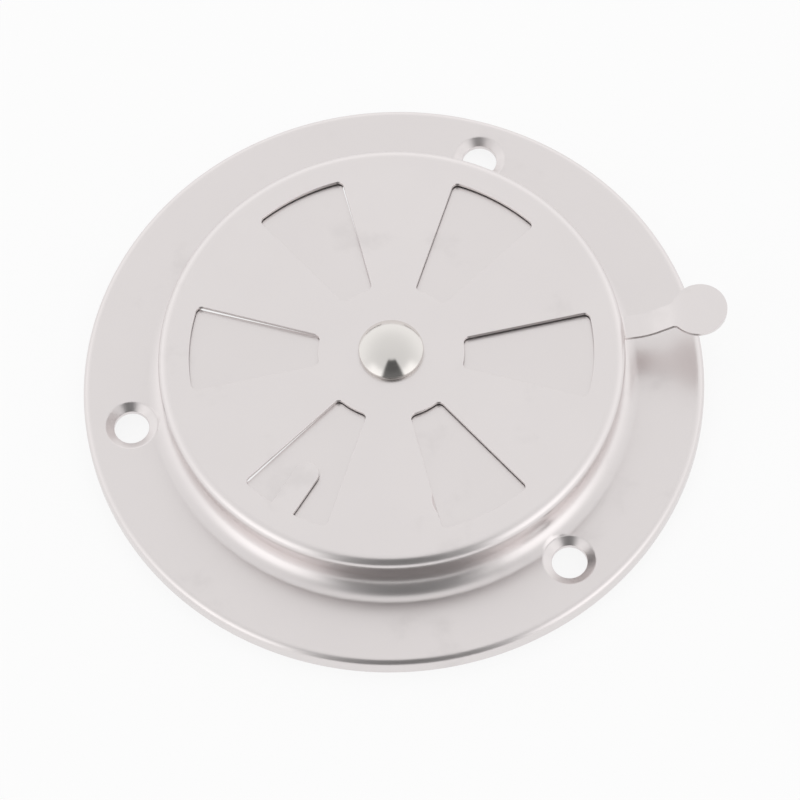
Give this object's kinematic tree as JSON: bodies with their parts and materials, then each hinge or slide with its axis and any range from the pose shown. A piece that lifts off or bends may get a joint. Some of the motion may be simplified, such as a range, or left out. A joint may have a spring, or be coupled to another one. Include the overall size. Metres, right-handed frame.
{
  "type": "adjustable vent grille",
  "caption": "Round adjustable vent grille in stainless sheet: a flanged plate with a raised drum, and a turning cover with sector windows, finger lever and centre rivet",
  "frame": {"origin": "on the turning axis, in the mounting plane that the flange's turned-down rim stands on", "axes": "+Z points out of the wall along the turning axis, +X lies 4 degrees clockwise of the finger lever with the vent closed, +Y completes the frame"},
  "size_m": [0.1319, 0.127, 0.0196],
  "materials": {
    "plate_steel": "mill-finish stainless sheet, stamped, fairly smooth, lightly handled",
    "cover_steel": "mill-finish stainless sheet, stamped, with a few faint smudges",
    "rivet_steel": "smooth bright domed stainless rivet"
  },
  "bodies": {
    "plate": {"base_plate": "plate_steel", "centre_rivet": "rivet_steel", "back_washer": "plate_steel"},
    "cover": {"rotating_cover": "cover_steel"}
  },
  "joints": [
    {"name": "cover_turn", "type": "hinge", "parent": "plate", "child": "cover", "pos_m": [0, 0, 0.01545], "axis": [0, 0, 1], "range_deg": [-25.8, 0]}
  ]
}
